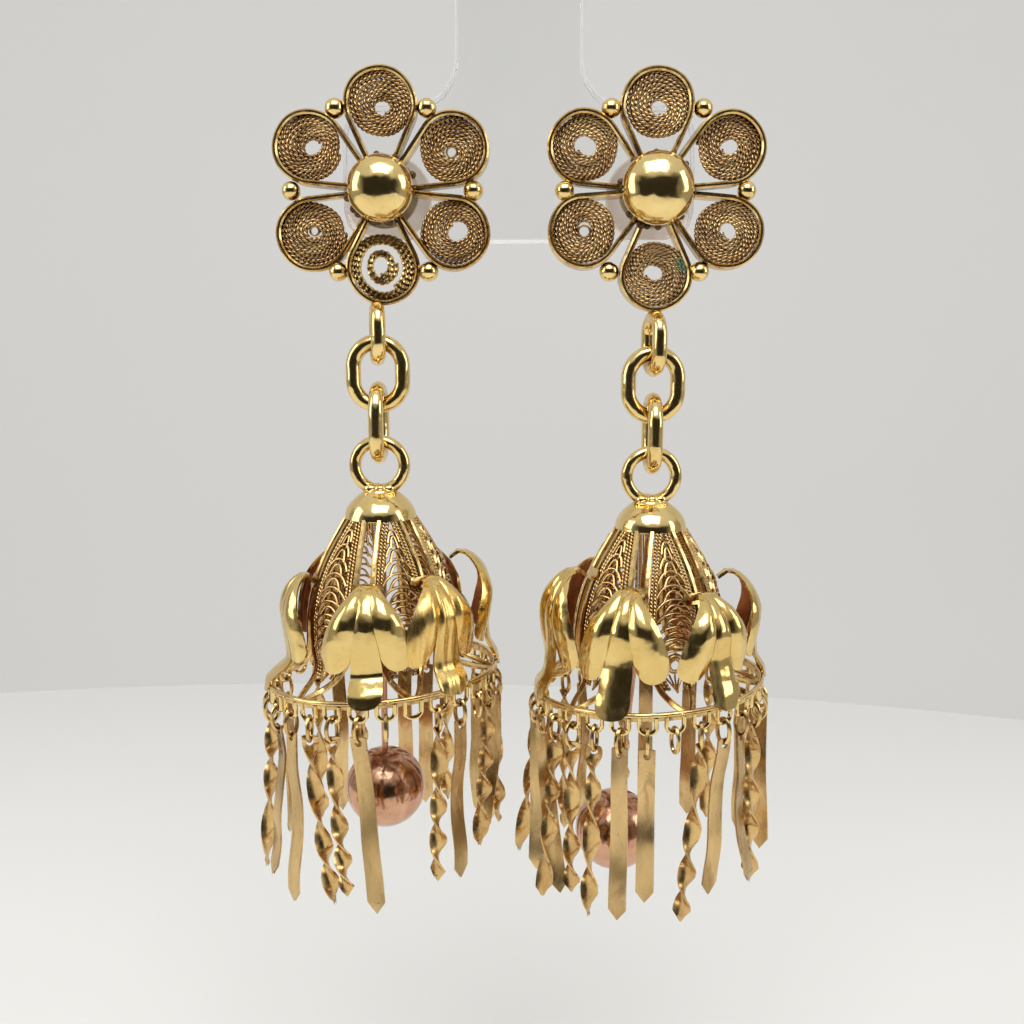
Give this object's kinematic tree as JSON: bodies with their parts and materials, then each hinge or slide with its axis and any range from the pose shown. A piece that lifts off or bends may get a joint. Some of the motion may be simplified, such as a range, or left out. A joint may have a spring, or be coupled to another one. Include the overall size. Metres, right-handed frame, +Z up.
{
  "type": "pair of drop earrings on a clear display bar",
  "caption": "Pair of gold filigree drop earrings: petal rosette, link chain and pierced bell with a fringe of strips, on a clear T-shaped display bar.",
  "frame": {"origin": "middle of the flat top of the display bar's neck, where the bar is held", "axes": "+Z up along the neck, +X to the right along the bar, +Y to the back; the rosettes face -Y"},
  "size_m": [0.0431, 0.0201, 0.0738],
  "materials": {
    "clear_acrylic": "polished clear plastic",
    "antique_gold": "tarnished filigree gold",
    "polished_gold": "polished gold",
    "satin_gold": "satin gold with a rosy tan",
    "rose_gold": "copper-red polished gold"
  },
  "bodies": {
    "stand": {"display_bar": "clear_acrylic", "left_rosette": "antique_gold", "left_ear_nut": "satin_gold", "right_rosette": "antique_gold", "right_ear_nut": "satin_gold"},
    "left_drop": {"left_upper_link": "polished_gold", "left_lower_link": "polished_gold", "left_bell": "polished_gold", "left_fringe": "satin_gold"},
    "left_ball": {"left_ball": "rose_gold"},
    "right_drop": {"right_upper_link": "polished_gold", "right_lower_link": "polished_gold", "right_bell": "polished_gold", "right_fringe": "satin_gold"},
    "right_ball": {"right_ball": "rose_gold"}
  },
  "joints": [
    {"name": "left_drop_swing", "type": "hinge", "parent": "stand", "child": "left_drop", "pos_m": [-0.01145, -0.00265, -0.02805], "axis": [1, 0, 0], "range_deg": [-25, 25]},
    {"name": "left_ball_swing", "type": "hinge", "parent": "left_drop", "child": "left_ball", "pos_m": [-0.01145, -0.00265, -0.04213], "axis": [1, 0, 0], "range_deg": [-10, 10]},
    {"name": "right_drop_swing", "type": "hinge", "parent": "stand", "child": "right_drop", "pos_m": [0.01095, -0.00265, -0.02895], "axis": [1, 0, 0], "range_deg": [-25, 25]},
    {"name": "right_ball_swing", "type": "hinge", "parent": "right_drop", "child": "right_ball", "pos_m": [0.01095, -0.00265, -0.04303], "axis": [1, 0, 0], "range_deg": [-10, 10]}
  ]
}
